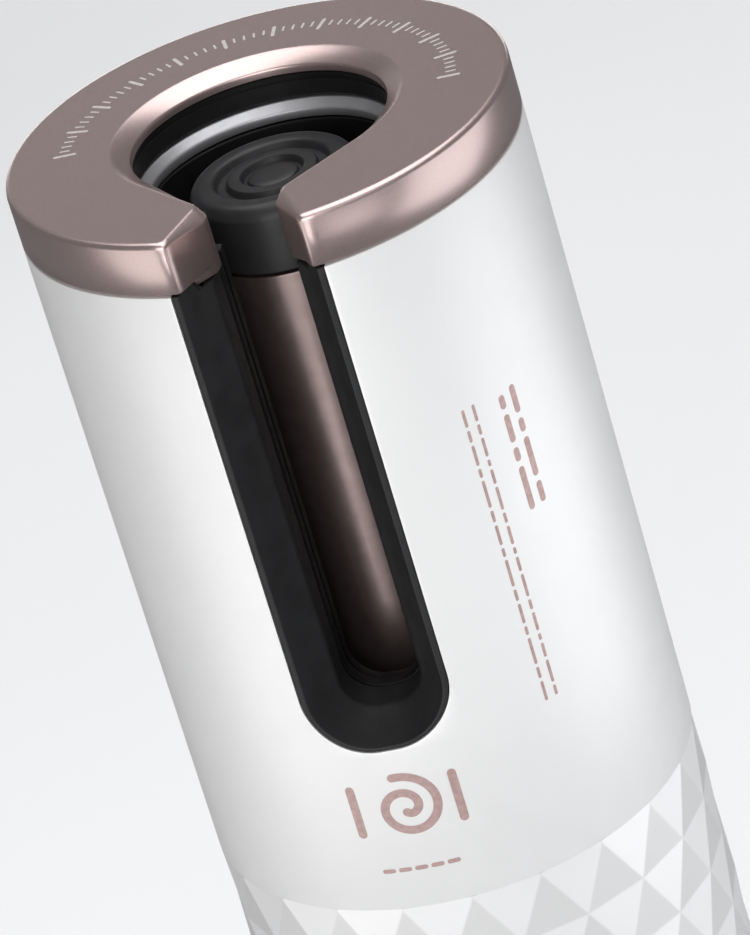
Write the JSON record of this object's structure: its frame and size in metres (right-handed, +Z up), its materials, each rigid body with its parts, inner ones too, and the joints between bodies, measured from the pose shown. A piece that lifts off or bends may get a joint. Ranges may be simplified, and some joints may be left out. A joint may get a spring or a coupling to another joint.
{
  "type": "automatic hair curler",
  "caption": "Cordless automatic hair curler: upright tube with a slot in its side, a slotted drum turning round a heated barrel, a faceted grip and a control panel.",
  "frame": {"origin": "centre of the foot, on the surface that the curler stands on", "axes": "+Z up along the tube, -Y out of the hair slot and the control panel"},
  "size_m": [0.064, 0.064, 0.212],
  "materials": {
    "rose_paint": "satin metallic rose-gold paint with fine flake",
    "pearl_plastic": "pearl-white lacquer",
    "black_plastic": "satin black moulding",
    "silver_trim": "satin plated",
    "bronze_coating": "satin bronze-brown ceramic coating",
    "steel": "plain",
    "aluminium": "as extruded",
    "acetal": "natural acetal",
    "circuit_board": "green solder mask",
    "ceramic": "unglazed",
    "rubber": "matte, fine grain",
    "window": "polished dark window",
    "cell_sleeve": "blue shrink sleeve"
  },
  "bodies": {
    "casing": {"cap_ring": "rose_paint", "base_ring": "rose_paint", "panel_bezel": "rose_paint", "upper_shell": "pearl_plastic", "grip_shell": "pearl_plastic", "control_panel": "pearl_plastic", "cap_liner": "black_plastic", "slot_bezel": "black_plastic", "chamber_tube": "black_plastic", "barrel_end_cap": "black_plastic", "barrel_mount": "black_plastic", "mid_frame": "black_plastic", "battery_holder": "black_plastic", "power_switch": "black_plastic", "heat_switch": "black_plastic", "timer_switch": "black_plastic", "left_switch": "black_plastic", "right_switch": "black_plastic", "display_module": "black_plastic", "buzzer": "black_plastic", "heater_driver": "black_plastic", "barrel_sleeve": "bronze_coating", "thrust_washer": "steel", "motor_gearbox": "steel", "motor_can": "steel", "thermal_fuse": "steel", "charging_socket": "steel", "rocker_pin": "steel", "tube_screw_1": "steel", "tube_screw_2": "steel", "tube_screw_3": "steel", "base_screw_1": "steel", "base_screw_2": "steel", "base_screw_3": "steel", "barrel_screw_1": "steel", "barrel_screw_2": "steel", "motor_screw_1": "steel", "motor_screw_2": "steel", "heater_core": "aluminium", "drum_bush": "acetal", "home_sensor": "circuit_board", "main_board": "circuit_board", "charge_board": "circuit_board", "heater_plate": "ceramic", "temperature_sensor": "ceramic", "foot_pad": "rubber", "display_window": "window", "battery_cell_left": "cell_sleeve", "battery_cell_right": "cell_sleeve"},
    "drum": {"winding_drum": "black_plastic", "drum_rim": "silver_trim", "drum_gear": "acetal", "home_magnet": "steel"},
    "pinion": {"drive_pinion": "steel", "motor_shaft": "steel"},
    "power_button": {"power_button": "rose_paint"},
    "heat_button": {"heat_button": "pearl_plastic"},
    "timer_button": {"timer_button": "pearl_plastic"},
    "direction_rocker": {"direction_rocker": "pearl_plastic"}
  },
  "joints": [
    {"name": "drum_spin", "type": "hinge", "parent": "casing", "child": "drum", "pos_m": [0, 0, 0.13], "axis": [0, 0, 1], "continuous": true},
    {"name": "pinion_spin", "type": "hinge", "parent": "casing", "child": "pinion", "pos_m": [0, 0.0225, 0.127], "axis": [0, 0, 1], "continuous": true},
    {"name": "power_press", "type": "slide", "parent": "casing", "child": "power_button", "axis": [0, 1, 0], "range_m": [0, 0.0006], "stiffness_N_per_m": 1500},
    {"name": "heat_press", "type": "slide", "parent": "casing", "child": "heat_button", "axis": [0, 1, 0], "range_m": [0, 0.0006], "stiffness_N_per_m": 1500},
    {"name": "timer_press", "type": "slide", "parent": "casing", "child": "timer_button", "axis": [0, 1, 0], "range_m": [0, 0.0006], "stiffness_N_per_m": 1500},
    {"name": "rocker_tilt", "type": "hinge", "parent": "casing", "child": "direction_rocker", "pos_m": [0, -0.0276, 0.0745], "axis": [0, 0, 1], "range_deg": [-4, 4], "stiffness_Nm_per_rad": 0.09}
  ],
  "couplings": [
    {"joint": "pinion_spin", "follows": "drum_spin", "ratio": -4}
  ]
}
